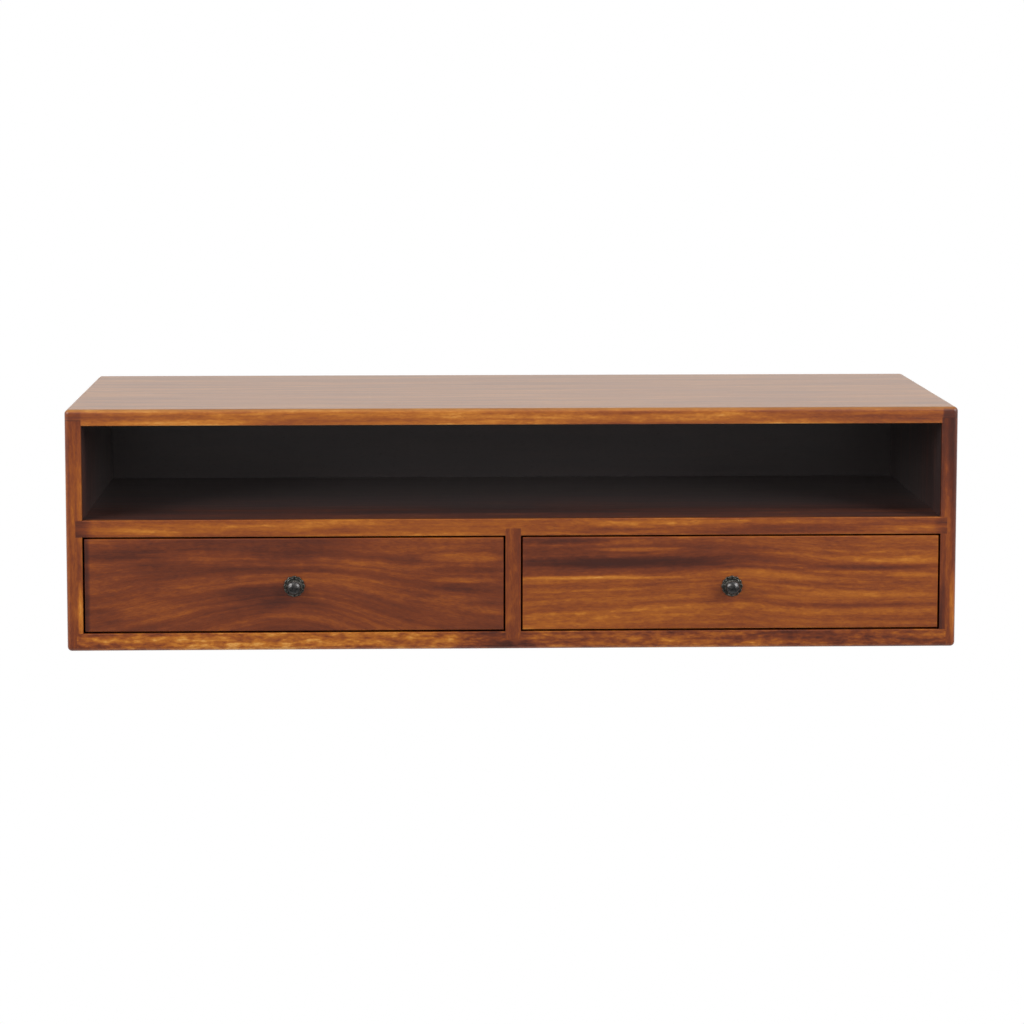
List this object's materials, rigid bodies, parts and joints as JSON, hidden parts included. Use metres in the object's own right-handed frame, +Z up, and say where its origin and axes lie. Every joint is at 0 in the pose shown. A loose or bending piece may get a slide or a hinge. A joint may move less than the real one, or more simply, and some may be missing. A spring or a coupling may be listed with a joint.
{
  "type": "floating media console",
  "caption": "Wall-hung media console in stained solid wood: an open full-width slot over drawers side by side, each with a round metal knob, hung on keyhole plates behind.",
  "frame": {"origin": "on the wall plane, midway between the entry holes of the two keyhole plates", "axes": "+X to the right seen from the front, +Y into the wall, +Z up; the front face is at y = -0.400 m"},
  "size_m": [1.1, 0.4155, 0.3],
  "materials": {
    "case_wood": "stained and lacquered satin, straight to mottled grain",
    "drawer_front_wood": "stained and lacquered satin, figured grain",
    "back_panel_wood": "stained panel",
    "rail_wood": "stained, planed",
    "drawer_box_wood": "light stain, planed",
    "runner_wood": "waxed hardwood",
    "plywood": "sanded plywood",
    "knob_metal": "dark antique, rubbed bright on the high points",
    "hanger_steel": "zinc plated",
    "fastener_steel": "zinc plated"
  },
  "bodies": {
    "case": {"top_panel": "case_wood", "bottom_panel": "case_wood", "left_side_panel": "case_wood", "right_side_panel": "case_wood", "middle_shelf": "case_wood", "centre_divider": "case_wood", "back_panel": "back_panel_wood", "hanging_rail": "rail_wood", "lower_rail": "rail_wood", "left_hanger_plate": "hanger_steel", "right_hanger_plate": "hanger_steel", "hanger_screws": "fastener_steel", "left_drawer_left_runner": "runner_wood", "left_drawer_right_runner": "runner_wood", "right_drawer_left_runner": "runner_wood", "right_drawer_right_runner": "runner_wood", "runner_screws": "fastener_steel", "back_panel_pins": "fastener_steel"},
    "left_drawer": {"left_drawer_front": "drawer_front_wood", "left_drawer_left_side": "drawer_box_wood", "left_drawer_right_side": "drawer_box_wood", "left_drawer_back": "drawer_box_wood", "left_drawer_bottom": "plywood", "left_drawer_bottom_pins": "fastener_steel", "left_knob_rosette": "knob_metal", "left_knob": "knob_metal", "left_knob_screw": "fastener_steel", "left_knob_washer": "fastener_steel"},
    "right_drawer": {"right_drawer_front": "drawer_front_wood", "right_drawer_left_side": "drawer_box_wood", "right_drawer_right_side": "drawer_box_wood", "right_drawer_back": "drawer_box_wood", "right_drawer_bottom": "plywood", "right_drawer_bottom_pins": "fastener_steel", "right_knob_rosette": "knob_metal", "right_knob": "knob_metal", "right_knob_screw": "fastener_steel", "right_knob_washer": "fastener_steel"}
  },
  "joints": [
    {"name": "left_drawer_slide", "type": "slide", "parent": "case", "child": "left_drawer", "axis": [0, -1, 0], "range_m": [0, 0.26]},
    {"name": "right_drawer_slide", "type": "slide", "parent": "case", "child": "right_drawer", "axis": [0, -1, 0], "range_m": [0, 0.26]}
  ]
}
